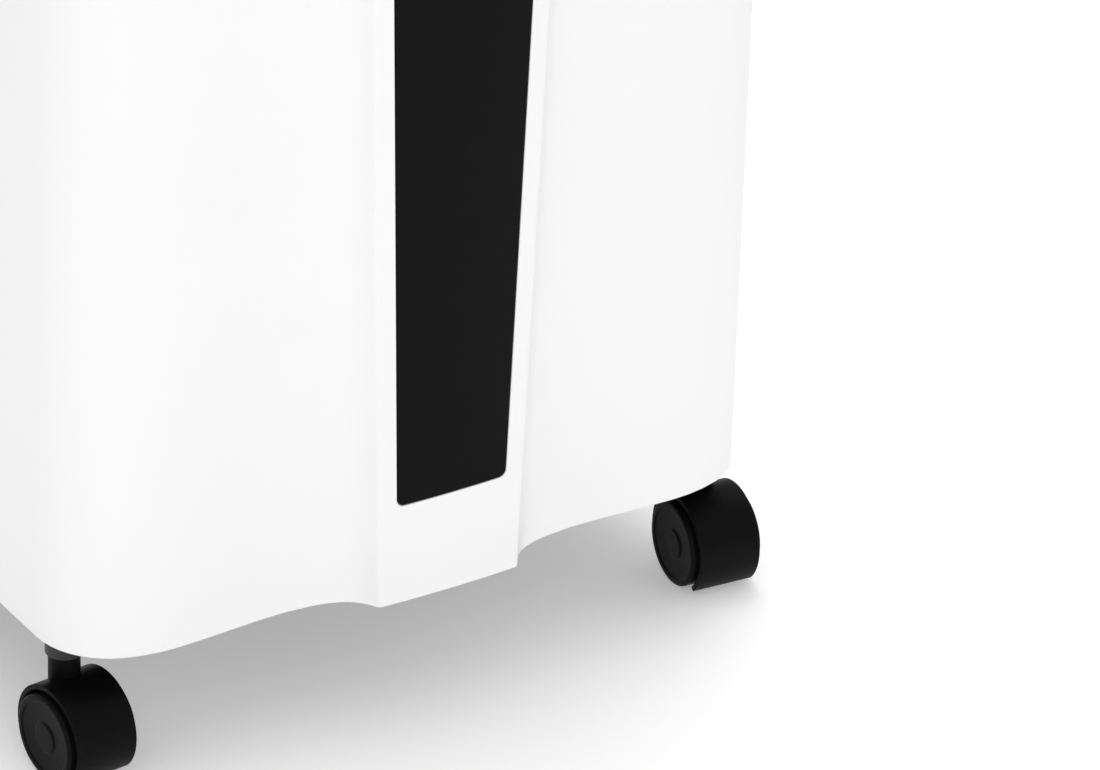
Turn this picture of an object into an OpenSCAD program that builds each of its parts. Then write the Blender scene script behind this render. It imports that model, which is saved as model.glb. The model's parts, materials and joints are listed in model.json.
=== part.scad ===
// Portable compressor dehumidifier on four hooded twin-wheel casters.
// Front faces -Y, the machine stands on z = 0 and is centred on x = y = 0.

/* [Casing] */
// Width of the casing across its side walls
body_w = 396; // [392:2:400]
// Overall depth, from the middle of the front column to the drain plug
body_d = 282; // [280:1:286]
// Height of the casing's lower edge over the floor
skirt_z = 70; // [69:0.5:72]
// Height where the side casings end and the top cover begins
shoulder_z = 560; // [556:1:564]
// Overall height
top_z = 600; // [598:1:604]
// Wall thickness of the casings
wall = 2.6; // [2.2:0.1:3]

/* [Front column] */
// Half width of the raised column at the lower edge
column_half = 41; // [36:0.5:44]
// How much each side of the column leans outwards, per mm of height
column_lean = 0.0275; // [0.01:0.0025:0.03]
// Height of the lower edge of the dark strip
strip_z = 125; // [110:1:140]
// Half width of the dark strip at its lower edge
strip_half = 31; // [26:0.5:33]

/* [Casters] */
// Wheel diameter
wheel_d = 45; // [42:0.5:46]
// Overall width over both wheels
caster_w = 39.8; // [36:0.2:44]
// Outer radius of the hood
hood_r = 26.6; // [25.6:0.1:27.5]
// Distance from the swivel stem to the wheel axle
trail = 11; // [9:0.5:13]
// Turn of the wheels at rest, in degrees
rest_turn = 5.1; // [0:0.1:8]
// Swivel stem, distance from the middle plane across
stem_x = 184.5; // [182:0.5:185]
// Swivel stem, distance from the middle plane in depth
stem_y = 84; // [80:0.5:86]

/* [Water bucket] */
// Width of the tank
tank_w = 276; // [260:1:280]
// Height of the tank
tank_h = 142; // [130:1:144]

/* [Controls] */
// Diameter of each push button
button_d = 12; // [10:0.5:13]

/* [Hidden] */
$fn = 48;

half_w = body_w / 2;
front_y = -body_d / 2;
plug_y = body_d / 2;
rear_y = plug_y - 3;
seam_y = -30;
seam_gap = 0.4;
slip = 0.4;
eps = 0.5;

// plan of the casing, as stretches of [radius, turn] walked from the middle of the column
face_r = 700;
column_corner_r = 3.5;
cove_start = 64;
side_corner_r = 40;
rear_corner_r = 25;
flank_lean = 3.4;

wheel_r = wheel_d / 2;
web_t = 5;
wheel_gap = 0.4;
hood_gap = 1.4;
hood_w = caster_w - 6;
axle_d = 6;
stem_d = 10;
socket_top = 96;
boss_z = 60;

strip_t = 1.6;
reveal = 0.35;
strip_top = shoulder_z - 14;

pan_z = skirt_z + 2;
pan_t = 3;
pan_rim = 28;

bay_w = 292;
bay_y = 6;
bay_top = 298;
bay_t = 2.2;
bay_floor = pan_z + pan_t + 4;
tank_z = bay_floor + bay_t + slip;
tank_y = bay_y + bay_t + 4;
tank_t = 2.4;
tank_top = tank_z + tank_h;
fascia_w = bay_w - 2;
fascia_top = 291;
fascia_z = 80.5;
lid_t = 2.4;
pull_w = 100;
pull_h = 30;
pull_d = 15;
pull_z = 262;
handle_y = 66;
handle_z = tank_top + 8;
handle_reach = 46;
handle_x = 128;
handle_pin_d = 4.6;
float_x = -90;
float_y = 40;
float_d = 38;
float_h = 20;
float_z = tank_top - 44;
inlet_x = 60;
inlet_y = 62;

coil_w = 250;
coil_h = 190;
coil_z = 336;
coil_t = 22;
tube_d = 7;
tube_rows = 8;
fin_pitch = 8;
fin_t = 0.5;
evap_y = 84;
cond_y = 46;
shroud_half = 138;
shroud_t = 2.4;
filter_y = 119;
filter_t = 5;
filter_w = 270;
filter_z = 333;
grille_w = 268;
grille_h = 200;
grille_z = 338;

blower_x = -63;
blower_z = 430;
blower_r = 86;
blower_front = -60;
blower_depth = 48;
blades = 36;
scroll_front = -66;
scroll_depth = 60;
scroll_start = 95;
scroll_growth = 0.11;
scroll_t = 2;
scroll_top = shoulder_z - 4;
motor_d = 76;
motor_l = 36;
shaft_d = 8;

comp_x = 70;
comp_y = -54;
comp_r = 55;
comp_z = 88;
comp_h = 178;
foot_r = 64;
foot_turns = [25, 155, 215, 325];

outlet_w = 150;
outlet_y0 = -66;
outlet_y1 = -8;
flap_pin_d = 4;
flap_pin_y = outlet_y1 - 9.8;
flap_tail = 8;
flap_t = 2.4;
well_z = shoulder_z - 3;
guard_z = top_z - 24;
flap_pin_z = top_z - 5;
deck_t = 3;
panel_y0 = -127;
panel_y1 = -74;
panel_t = 2;
button_row_y = -86;
button_pitch = 19;
nozzle_x = 104;
nozzle_z = 316.8;
tray_y1 = 112;
spout_well_d = 33;
spout_well_y = rear_y - 12;
nozzle_d = 16;
nozzle_bore = 12;
gland_x = -160;
gland_z = 112;
grip_z = 470;
grip_y = 62;
grip_l = 96;
grip_h = 34;
grip_depth = 24;

shell_white = [0.93, 0.93, 0.92];
trim_black = [0.09, 0.09, 0.09];
inner_grey = [0.55, 0.57, 0.58];

// ---- plan curves -------------------------------------------------------------------------

function arc(cx, cy, r, a0, a1, n = 6) =
    [for (i = [0:n]) let (a = a0 + (a1 - a0) * i / n) [cx + r * cos(a), cy + r * sin(a)]];

function rounded(w, h, r) =
    concat(arc(w / 2 - r, h / 2 - r, r, 0, 90), arc(r - w / 2, h / 2 - r, r, 90, 180),
           arc(r - w / 2, r - h / 2, r, 180, 270), arc(w / 2 - r, r - h / 2, r, 270, 360));

// one stretch of a walk: [radius, turn] bends by turn degrees, [0, length] runs straight
function stretch(p, s) =
    s[0] == 0
    ? [[p[0] + s[1] * cos(p[2]), p[1] + s[1] * sin(p[2]), p[2]]]
    : let (n = max(2, ceil(abs(s[1]) / 8)), k = sign(s[1]))
      [for (i = [1:n]) let (h = p[2] + s[1] * i / n)
          [p[0] + k * s[0] * (sin(h) - sin(p[2])), p[1] - k * s[0] * (cos(h) - cos(p[2])), h]];

function walk(p, stretches, i = 0) =
    i == len(stretches)
    ? []
    : let (a = stretch(p, stretches[i])) concat(a, walk(a[len(a) - 1], stretches, i + 1));

function column_at(z) = column_half + column_lean * (z - skirt_z);

// the front's stretches: column, cove, a straight flank of the given length, and the corner
function front_stretches(z, flank) =
    let (face_turn = asin((column_at(z) - 3) / face_r))
    [[face_r, face_turn], [column_corner_r, cove_start - face_turn], [25.5, 22 - cove_start],
     [55, -14], [150, -8 - flank_lean], [0, flank], [400, flank_lean - 0.8], [82, 19.7],
     [side_corner_r, 71.1]];

// the front's right half, from the middle of the column to the straight side wall
function front_half(z) =
    let (start = [0, front_y, 0],
         bare = walk(start, front_stretches(z, 0)),
         flank = (half_w - bare[len(bare) - 1][0]) / cos(flank_lean))
    concat([start], walk(start, front_stretches(z, flank)));

function half_plan(z) =
    let (front = front_half(z),
         corner = front[len(front) - 1],
         side = rear_y - rear_corner_r - corner[1])
    concat(front, walk(corner, [[0, side], [rear_corner_r, 90]]));

function moved_in(walked, inset) =
    [for (p = walked) [p[0] - inset * sin(p[2]), p[1] + inset * cos(p[2])]];

function across(right) = [for (i = [len(right) - 1:-1:1]) [-right[i][0], right[i][1]]];

// closed outline of the casing at height z, moved inwards by inset
function plan(z, inset = 0) =
    let (right = moved_in(half_plan(z), inset))
    concat(right, across(right));

// the front wall's outline at height z, from the left seam round to the right seam
function front_run(z, inset) =
    let (right = moved_in(concat(front_half(z), [[half_w, seam_y, 90]]), inset))
    concat(across(right), right);

function shrunk(outline, d) = [for (p = outline) p * (1 - d / half_w)];

function raised(outline, z) = [for (p = outline) [p[0], p[1], z]];

// ---- general solids ----------------------------------------------------------------------

// a solid whose surface runs over rings of equal count and back to the first ring; an open
// run gets flat ends
module ringed(rings, closed) {
    n = len(rings[0]);
    m = len(rings);
    polyhedron(
        points = [for (r = rings) each r],
        faces = concat([for (k = [0:m - 1]) for (i = [0:n - (closed ? 1 : 2)])
                           let (j = (i + 1) % n, l = (k + 1) % m)
                           each [[k * n + i, l * n + i, l * n + j], [k * n + i, l * n + j, k * n + j]]],
                       closed ? [] : [[for (k = [m - 1:-1:0]) k * n],
                                      [for (k = [0:m - 1]) k * n + n - 1]]));
}

module slab(w, h, r, t) {
    linear_extrude(t) polygon(rounded(w, h, r));
}

// a slab standing upright, its thickness running back from y
module upright(w, h, r, y, t) {
    translate([0, y + t, 0]) rotate([90, 0, 0]) slab(w, h, r, t);
}

module box(x0, x1, y0, y1, z0, z1) {
    translate([x0, y0, z0]) cube([x1 - x0, y1 - y0, z1 - z0]);
}

// a round bar or hole along Y
module rod_y(d, y0, y1) {
    translate([0, y0, 0]) rotate([-90, 0, 0]) cylinder(h = y1 - y0, d = d);
}

// a round bar or hole along X
module rod_x(d, x0, x1) {
    translate([x0, 0, 0]) rotate([0, 90, 0]) cylinder(h = x1 - x0, d = d);
}

// a round tube along a run of points, with a ball fitting where the run turns
module tube(run, d) {
    last = len(run) - 1;
    for (i = [0:last - 1]) {
        step = run[i + 1] - run[i];
        a = step / norm(step);
        back = i == 0 ? 0 : 0.55 * d;
        short = i == last - 1 ? 0 : 0.55 * d;
        translate(run[i] + back * a) rotate([0, acos(a[2]), atan2(a[1], a[0])])
            cylinder(h = norm(step) - back - short, d = d);
    }
    for (i = [1:last - 1]) translate(run[i]) rotate([20, 30, 40]) sphere(d = 1.5 * d);
}

module both_sides() {
    children();
    mirror([1, 0, 0]) children();
}

// ---- casings -----------------------------------------------------------------------------

module strip_outline(grow) {
    w0 = strip_half + grow;
    w1 = strip_half + column_lean * (strip_top - strip_z) + grow;
    r = 4;
    polygon(concat(arc(w0 - r, strip_z - grow + r, r, -90, 0, 6),
                   arc(w1 - r, strip_top + grow - r, r, 0, 90, 6),
                   arc(r - w1, strip_top + grow - r, r, 90, 180, 6),
                   arc(r - w0, strip_z - grow + r, r, 180, 270, 6)));
}

module strip_prism(grow) {
    translate([0, front_y + 8, 0]) rotate([90, 0, 0]) linear_extrude(12) strip_outline(grow);
}

// the curved face of the column, taken depth into the wall
module face_drum(depth) {
    translate([0, front_y + face_r, skirt_z - eps])
        cylinder(h = shoulder_z - skirt_z + 2 * eps, r = face_r - depth, $fn = 720);
}

module front_shell() {
    color(shell_white) difference() {
        ringed([raised(front_run(skirt_z, 0), skirt_z), raised(front_run(shoulder_z, 0), shoulder_z),
                raised(front_run(shoulder_z, wall), shoulder_z),
                raised(front_run(skirt_z, wall), skirt_z)], false);
        difference() {
            strip_prism(reveal);
            face_drum(strip_t);
        }
    }
}

module front_strip() {
    color(trim_black) difference() {
        intersection() {
            strip_prism(0);
            face_drum(0);
        }
        face_drum(strip_t);
    }
}

module screw_places() {
    for (x = [-156, 156]) for (z = [320, 548]) translate([x, 0, z]) children();
}

module rear_outline(inset, y0) {
    w = half_w - inset;
    r = rear_corner_r - inset;
    y = rear_y - rear_corner_r;
    polygon(concat([[-w, y0], [w, y0]], arc(half_w - rear_corner_r, y, r, 0, 90, 12),
                   arc(rear_corner_r - half_w, y, r, 90, 180, 12)));
}

module rear_shell() {
    y0 = seam_y + seam_gap;
    color(shell_white) difference() {
        union() {
            translate([0, 0, skirt_z]) linear_extrude(shoulder_z - skirt_z) difference() {
                rear_outline(0, y0);
                rear_outline(wall, y0 - eps);
            }
            screw_places() rod_y(12, rear_y - 14, rear_y - wall + 0.2);
            translate([nozzle_x, 0, nozzle_z])
                rod_y(spout_well_d + 4, spout_well_y - 2, rear_y - wall + 0.2);
        }
        translate([0, 0, (fascia_z + fascia_top) / 2])
            upright(bay_w, fascia_top - fascia_z + 1.6, 6, rear_y - 8, 12);
        translate([0, 0, grille_z + grille_h / 2])
            upright(grille_w + 1, grille_h + 1, 8, rear_y - 8, 12);
        both_sides() translate([0, grip_y, grip_z]) rotate([90, 0, 90])
            translate([0, 0, half_w - 8]) slab(grip_l + 0.6, grip_h + 0.6, 12, 12);
        translate([nozzle_x, 0, nozzle_z]) {
            rod_y(nozzle_d + 3, spout_well_y - 4, rear_y + 4);
            rod_y(spout_well_d, spout_well_y, rear_y + 4);
        }
        translate([gland_x, 0, gland_z]) rod_y(14.6, rear_y - 8, rear_y + 4);
        screw_places() {
            rod_y(8.4, rear_y - 6, rear_y + 4);
            rod_y(4, rear_y - 16, rear_y);
        }
    }
}

module case_screws() {
    color("gainsboro") screw_places() difference() {
        union() {
            rod_y(7.6, rear_y - 6, rear_y - 3.6);
            rod_y(3.6, rear_y - 20, rear_y - 6);
        }
        for (turn = [0, 90]) rotate([0, turn, 0]) box(-2.2, 2.2, rear_y - 5, rear_y, -0.5, 0.5);
    }
}

module at_stems() {
    for (sx = [-1, 1]) for (sy = [-1, 1]) translate([sx * stem_x, sy * stem_y, 0]) children();
}

module at_comp_feet() {
    translate([comp_x, comp_y, 0]) for (a = foot_turns) rotate(a) translate([foot_r, 0, 0])
        children();
}

module base_pan() {
    color(trim_black) difference() {
        union() {
            difference() {
                translate([0, 0, pan_z]) linear_extrude(pan_rim) polygon(plan(skirt_z, wall + slip));
                translate([0, 10, pan_z + pan_t]) slab(2 * half_w - 11, 244, 24, pan_rim);
                translate([0, -115, pan_z + pan_t]) slab(66, 30, 4, pan_rim);
                box(-bay_w / 2 - 4, bay_w / 2 + 4, bay_y - 3, rear_y + eps, bay_floor,
                    pan_z + pan_rim + eps);
            }
            at_stems() translate([0, 0, boss_z]) cylinder(h = socket_top - boss_z, d = 19);
            at_comp_feet() translate([0, 0, pan_z + pan_t - 0.2]) cylinder(h = 3.2, d = 24);
            for (x = [-150, -110, -40, 0]) box(x - 1.2, x + 1.2, -112, 0, pan_z + 1, pan_z + 9);
        }
        at_stems() translate([0, 0, boss_z - eps])
            cylinder(h = socket_top - boss_z - 4, d = stem_d + 0.1);
        at_comp_feet() translate([0, 0, pan_z - eps]) cylinder(h = 12, d = 6.2);
    }
}

// ---- top cover and controls --------------------------------------------------------------

// the rounded rim with the flat deck inside it
module cover_shell() {
    z0 = shoulder_z + seam_gap;
    edge_r = 11;
    inside_r = 9;
    under = top_z - deck_t;
    outer = plan(shoulder_z);
    inner = plan(shoulder_z, wall);
    ringed(concat(
        [raised(outer, z0)],
        [for (a = [0:30:90]) raised(shrunk(outer, edge_r * (1 - cos(a))), top_z + edge_r * (sin(a) - 1))],
        [for (z = [top_z, under]) raised(shrunk(plan(shoulder_z, wall + 0.8), inside_r), z)],
        [for (a = [90:-30:0])
            raised(shrunk(inner, inside_r * (1 - cos(a))), under + inside_r * (sin(a) - 1))],
        [raised(inner, z0)]), true);
    translate([0, 0, under]) linear_extrude(deck_t)
        polygon(shrunk(plan(shoulder_z, wall + 0.4), inside_r));
}

module panel_outline(grow) {
    w0 = 47 + grow;
    w1 = 58 + grow;
    r = 5;
    polygon(concat(arc(w0 - r, panel_y0 - grow + r, r, -90, 0, 6),
                   arc(w1 - r, panel_y1 + grow - r, r, 0, 90, 6),
                   arc(r - w1, panel_y1 + grow - r, r, 90, 180, 6),
                   arc(r - w0, panel_y0 - grow + r, r, 180, 270, 6)));
}

module at_buttons() {
    for (i = [-2:2]) translate([i * button_pitch, button_row_y, 0]) children();
}

module top_cover() {
    outlet_mid = (outlet_y0 + outlet_y1) / 2;
    outlet_l = outlet_y1 - outlet_y0;
    color(shell_white) difference() {
        union() {
            cover_shell();
            translate([0, outlet_mid, well_z])
                slab(outlet_w + 12, outlet_l + 4.4, 4, top_z - 2 - well_z);
        }
        translate([0, outlet_mid, well_z - eps]) slab(outlet_w, outlet_l, 3, top_z);
        translate([0, flap_pin_y, flap_pin_z])
            rod_x(flap_pin_d + 0.2, -outlet_w / 2 - 4, outlet_w / 2 + 8);
        translate([0, 0, top_z - panel_t]) linear_extrude(6) panel_outline(reveal);
        at_buttons() translate([0, 0, top_z - 8]) cylinder(h = 10, d = button_d + 2.4);
        translate([0, -111, top_z - 8]) slab(72, 20, 2, 10);
        box(-filter_w / 2 - 1, filter_w / 2 + 1, filter_y - 1, filter_y + filter_t + 1,
            top_z - 8, top_z + eps);
    }
}

module control_panel() {
    color(trim_black) difference() {
        translate([0, 0, top_z - panel_t]) linear_extrude(panel_t) panel_outline(0);
        at_buttons() translate([0, 0, top_z - 8]) cylinder(h = 10, d = button_d + 0.8);
        translate([0, -111, top_z - 8]) slab(64, 16, 3, 10);
    }
}

module display_window() {
    color([0.15, 0.2, 0.22]) {
        translate([0, -111, top_z - panel_t]) slab(63.4, 15.4, 2.7, panel_t - 0.2);
        translate([0, -111, top_z - panel_t - 1.2]) slab(70, 18, 2, 1.2);
    }
}

module push_button(i) {
    translate([i * button_pitch, button_row_y, top_z - 5]) {
        difference() {
            cylinder(h = 5.4, d = button_d);
            translate([0, 0, 15 + 4.9]) sphere(r = 15, $fn = 96);
        }
        translate([0, 0, -2]) cylinder(h = 2, d = button_d + 1.6);
        translate([0, 0, -5]) cylinder(h = 3, d = 4);
    }
}

module power_button() { color("gainsboro") push_button(-2); }
module mode_button() { color("gainsboro") push_button(-1); }
module timer_button() { color("gainsboro") push_button(0); }
module more_button() { color("gainsboro") push_button(1); }
module less_button() { color("gainsboro") push_button(2); }

module outlet_guard() {
    w = outlet_w - 0.6;
    l = outlet_y1 - outlet_y0 - 0.6;
    mid = (outlet_y0 + outlet_y1) / 2;
    color(trim_black) translate([0, mid, guard_z]) {
        difference() {
            slab(w, l, 3, 3);
            translate([0, 0, -eps]) slab(w - 5, l - 5, 2, 5);
        }
        for (i = [-8:8]) translate([i * 8.4, 0, 0]) box(-0.8, 0.8, 2.4 - l / 2, l / 2 - 2.4, 0, 3);
        for (y = [-9.5, 9.5]) box(2.4 - w / 2, w / 2 - 2.4, y - 0.8, y + 0.8, 0.6, 2.4);
    }
}

module outlet_flap() {
    w = outlet_w - 1.2;
    y0 = outlet_y0 + 0.6;
    y1 = flap_pin_y + flap_tail;
    color(shell_white) difference() {
        union() {
            translate([0, (y0 + y1) / 2, top_z - flap_t]) slab(w, y1 - y0, 2.6, flap_t);
            for (x = [-w / 2, -1.2, w / 2 - 2.4])
                box(x, x + 2.4, y0 + 8, flap_pin_y, flap_pin_z, top_z - flap_t + 0.1);
            translate([0, flap_pin_y, flap_pin_z]) {
                rod_x(flap_pin_d, -outlet_w / 2 - 3.4, outlet_w / 2 + 12);
                box(-w / 2, w / 2, -1.6, 1.6, 0, 3);
            }
        }
        for (y = [y0 + 12:4:flap_pin_y - 8])
            box(-w / 2 + 10, w / 2 - 10, y, y + 1.2, top_z - 0.5, top_z + 1);
    }
}

module flap_motor() {
    motor_r = 10;
    drop = flap_pin_z + motor_r - top_z + deck_t + slip;
    color(inner_grey) translate([outlet_w / 2 + 6.4, flap_pin_y, flap_pin_z]) difference() {
        translate([0, 0, -drop]) {
            rod_x(2 * motor_r, 0, 16);
            box(1, 4, -15, 15, -3.5, 3.5);
            box(3, 14, -7, 7, -motor_r - 4, -motor_r + 3);
        }
        rod_x(flap_pin_d + 0.2, -1, 8);
    }
}

// ---- intake side -------------------------------------------------------------------------

module intake_grille() {
    w = grille_w;
    h = grille_h;
    slats = 22;
    pitch = (h - 14) / slats;
    color(trim_black) translate([0, rear_y - wall, grille_z]) {
        difference() {
            translate([0, 0, h / 2]) upright(w, h, 7.5, 0, wall);
            translate([0, 0, h / 2]) upright(w - 12, h - 12, 3, -1, wall + 2);
        }
        for (i = [0.5:slats]) translate([0, 0, 7 + i * pitch])
            box(5.8 - w / 2, w / 2 - 5.8, 0.2, wall, -1.3, 1.3);
        for (i = [-2:2]) box(i * 43 - 1.1, i * 43 + 1.1, -1.2, 1.2, 5.8, h - 5.8);
    }
}

module filter_frame() {
    w = filter_w;
    h = top_z - filter_z;
    net_h = h - 64;
    color(inner_grey) translate([0, filter_y, filter_z]) difference() {
        box(-w / 2, w / 2, 0, filter_t, 0, h);
        for (x = [-1.5:1.5]) for (z = [0:2])
            translate([x * 65, 0, 6 + z * net_h / 3])
                box(-31, 31, -eps, filter_t + eps, 0, net_h / 3 - 4);
        for (x = [-1.5:1.5]) for (z = [0:2])
            translate([x * 65, 0, 6 + z * net_h / 3])
                box(-32, 32, 1.9, 3.1, -1, net_h / 3 - 3);
        box(-30, 30, -eps, 2.6, h - 22, h - 6);
    }
}

module filter_mesh() {
    w = 62;
    net_h = top_z - filter_z - 64;
    color([0.2, 0.22, 0.25]) translate([0, filter_y, filter_z])
        for (x = [-1.5:1.5]) for (z = [0:2])
            translate([x * 65, 0, 6 + z * net_h / 3])
                box(-w / 2 - 0.8, w / 2 + 0.8, 2.1, 2.9, -0.8, net_h / 3 - 3.2);
}

module coil_shroud() {
    y0 = 20;
    y1 = 116;
    z0 = 328;
    z1 = 534;
    w = shroud_half;
    color(inner_grey) difference() {
        union() {
            difference() {
                box(-w, w, y0, y1, z0, z1);
                box(-w + shroud_t, w - shroud_t, y0 + 2, y1 + eps, z0 + shroud_t, z1 - shroud_t);
            }
            both_sides() difference() {
                box(w - 5.6, w + 6, y1 - 3, filter_y + filter_t + 3, z0, z1);
                box(w - 8, filter_w / 2 + slip, filter_y - slip, filter_y + filter_t + slip,
                    filter_z - slip, z1 + eps);
            }
            translate([blower_x, 0, blower_z]) rod_y(144, scroll_front + scroll_depth + slip, y0 + 1);
        }
        translate([blower_x, 0, blower_z]) rod_y(140, scroll_front + scroll_depth, y0 + 4);
        box(-w + 6, w - 6, 30, 110, z0 - 1, z0 + shroud_t + 1);
        for (y = [cond_y, evap_y]) both_sides()
            box(w - shroud_t - 1, w + 1, y - 4, y + coil_t + 4, coil_z - 2, coil_z + coil_h + 2);
    }
}

module fins(y) {
    pitch_z = coil_h / tube_rows;
    count = floor(coil_w / fin_pitch);
    for (i = [0:count]) translate([i * fin_pitch - coil_w / 2, y, coil_z])
        rotate([90, 0, 90]) linear_extrude(fin_t) difference() {
            square([coil_t, coil_h]);
            for (k = [0.5:tube_rows]) translate([coil_t / 2, k * pitch_z]) circle(d = tube_d + 0.1);
        }
}

module serpentine(y) {
    pitch_z = coil_h / tube_rows;
    bend_x = coil_w / 2 + 1;
    translate([0, y + coil_t / 2, coil_z]) {
        for (k = [0.5:tube_rows]) translate([0, 0, k * pitch_z])
            rod_x(tube_d, -bend_x, bend_x, $fn = 24);
        for (k = [1:tube_rows - 1]) {
            side = k % 2 == 0 ? -1 : 1;
            translate([side * bend_x, 0, k * pitch_z]) rotate([90, side * 90, 0])
                rotate_extrude(angle = 180, $fn = 32)
                    translate([pitch_z / 2, 0]) circle(d = tube_d, $fn = 24);
        }
    }
}

module evaporator_fins() { color("silver") fins(evap_y); }
module evaporator_tubes() { color("peru") serpentine(evap_y); }
module condenser_fins() { color("silver") fins(cond_y); }
module condenser_tubes() { color("peru") serpentine(cond_y); }

module humidity_sensor() {
    color("white") translate([156, filter_y, 430]) {
        box(-2, 2, 8, rear_y - wall - filter_y, -16, 16);
        rotate([0, -90, 0]) translate([0, 12.5, 1.8]) cylinder(h = 4, d = 8);
    }
}

// ---- blower ------------------------------------------------------------------------------

module at_blower() {
    translate([blower_x, 0, blower_z]) children();
}

module blower_wheel() {
    inner = blower_r - 15;
    back = blower_front + blower_depth;
    color("dimgray") at_blower() {
        difference() {
            union() {
                rod_y(2 * blower_r, blower_front, blower_front + 2);
                rod_y(24, blower_front, blower_front + 22);
            }
            rod_y(shaft_d, blower_front - 1, blower_front + 30);
        }
        difference() {
            rod_y(2 * blower_r, back - 2.4, back);
            rod_y(2 * inner, back - 4, back + 1);
        }
        for (i = [0:blades - 1]) rotate([0, i * 360 / blades, 0]) translate([inner + 7, 0, 0])
            rotate([0, 28, 0]) box(-6.5, 6.5, blower_front + 1.8, back - 2.2, -0.7, 0.7);
    }
}

module blower_shaft() {
    color("silver") at_blower() rod_y(shaft_d, scroll_front - motor_l - 3, blower_front + 26);
}

module fan_motor() {
    y1 = scroll_front;
    y0 = y1 - motor_l;
    color(inner_grey) at_blower() difference() {
        union() {
            rod_y(motor_d, y0 + 2, y1 - 2);
            rod_y(motor_d - 18, y0, y1);
            for (a = [45:90:315]) rotate([0, a, 0]) translate([motor_d / 2 + 4, 0, 0])
                rod_y(10, y1 - 5, y1);
        }
        rod_y(shaft_d + 0.1, y0 - 1, y1 + 1);
    }
}

module scroll_outline(grow, top) {
    polygon(concat(
        [for (a = [90:10:360]) let (r = scroll_start + scroll_growth * (a - 90) + grow)
            [r * cos(a) - (a == 90 ? grow : 0), r * sin(a)]],
        [[scroll_start + scroll_growth * 270 + grow, top], [-grow, top]]));
}

module fan_scroll() {
    y1 = scroll_front + scroll_depth;
    color(inner_grey) at_blower() difference() {
        translate([0, y1, 0]) rotate([90, 0, 0]) linear_extrude(scroll_depth)
            scroll_outline(scroll_t, scroll_top - blower_z);
        translate([0, y1 - 2, 0]) rotate([90, 0, 0]) linear_extrude(scroll_depth - 4)
            scroll_outline(0, scroll_top - blower_z + 1);
        rod_y(146, y1 - 4, y1 + 1);
        rod_y(60, scroll_front - 1, scroll_front + 4);
    }
}

// ---- water side --------------------------------------------------------------------------

module bucket_bay() {
    w = bay_w / 2;
    color(inner_grey) difference() {
        box(-w - bay_t, w + bay_t, bay_y, rear_y - wall - 1.2, bay_floor, bay_top);
        box(-w, w, bay_y + bay_t, rear_y, bay_floor + bay_t, bay_top - bay_t);
        translate([inlet_x, inlet_y, bay_top - 4]) cylinder(h = 6, d = 25);
    }
}

module bucket() {
    w = tank_w / 2;
    y1 = rear_y - 0.4;
    color([0.85, 0.88, 0.9]) difference() {
        union() {
            difference() {
                box(-w, w, tank_y, y1 - 2.8, tank_z, tank_top);
                box(-w + tank_t, w - tank_t, tank_y + tank_t, y1 - 3, tank_z + tank_t, tank_top + eps);
            }
            both_sides() box(w - 4.4, w, handle_y - 8, handle_y + 8, tank_top - 1, handle_z + 5);
            translate([0, 0, (fascia_z + fascia_top) / 2])
                upright(fascia_w, fascia_top - fascia_z, 5, y1 - 3, 3);
            translate([0, 0, pull_z]) upright(pull_w + 5, pull_h + 5, 8, y1 - pull_d - 2.4, pull_d);
        }
        translate([0, 0, pull_z]) upright(pull_w, pull_h, 6, y1 - pull_d, pull_d + 5);
        translate([0, handle_y, handle_z])
            rod_x(handle_pin_d + 0.2, -w - 1, w + 1);
    }
}

module bucket_lid() {
    w = tank_w / 2 - 4.8;
    y0 = tank_y + 0.4;
    y1 = rear_y - 4.2;
    post_bottom = float_z - 0.5;
    color("whitesmoke") difference() {
        union() {
            box(-w, w, y0, y1, tank_top, tank_top + lid_t);
            difference() {
                box(-w + 2, w - 2, y0 + 2.6, y1 - 2, tank_top - 6, tank_top + 0.2);
                box(-w + 4, w - 4, y0 + 4.6, y1 - 4, tank_top - 7, tank_top + 0.1);
            }
            translate([float_x, float_y, post_bottom])
                cylinder(h = tank_top - post_bottom + 0.2, d = 8);
            translate([float_x, float_y, post_bottom - 3]) cylinder(h = 3.2, d = 16);
        }
        translate([inlet_x, inlet_y, tank_top - 1]) cylinder(h = 6, d = 34);
    }
}

module bucket_float() {
    color("orange") translate([float_x, float_y, float_z]) difference() {
        cylinder(h = float_h, d = float_d);
        translate([0, 0, -1]) cylinder(h = float_h + 2, d = 9);
    }
}

module bucket_handle() {
    pin_end = tank_w / 2 - 0.8;
    color(trim_black) translate([0, handle_y, handle_z]) {
        both_sides() {
            box(handle_x, handle_x + 4.4, -4, handle_reach, -3.5, 3.5);
            rod_x(handle_pin_d, handle_x + 4, pin_end);
        }
        translate([0, handle_reach, 0]) rod_x(8, -handle_x - 4.4, handle_x + 4.4);
    }
}

module level_switch() {
    color(trim_black) {
        translate([float_x, bay_y - 9, float_z + 18]) box(-14, 14, 0, 9, -7, 7);
        translate([float_x, bay_y - 5, float_z + 11]) box(-8, 8, 0, 3, -10, 0);
    }
}

module drip_tray() {
    w = 145;
    y0 = 24;
    y1 = tray_y1;
    color(inner_grey) difference() {
        union() {
            box(-w, w, y0, y1, bay_top, bay_top + 28);
            translate([inlet_x, inlet_y, bay_top - 12]) cylinder(h = 13, d = 22);
        }
        box(-w + 2, w - 2, y0 + 2, y1 - 2, bay_top + 2.4, bay_top + 30);
        translate([inlet_x, inlet_y, bay_top - 14]) cylinder(h = 30, d = 18);
        translate([nozzle_x, 0, nozzle_z]) rod_y(nozzle_bore, y1 - 6, y1 + 1);
    }
}

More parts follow.
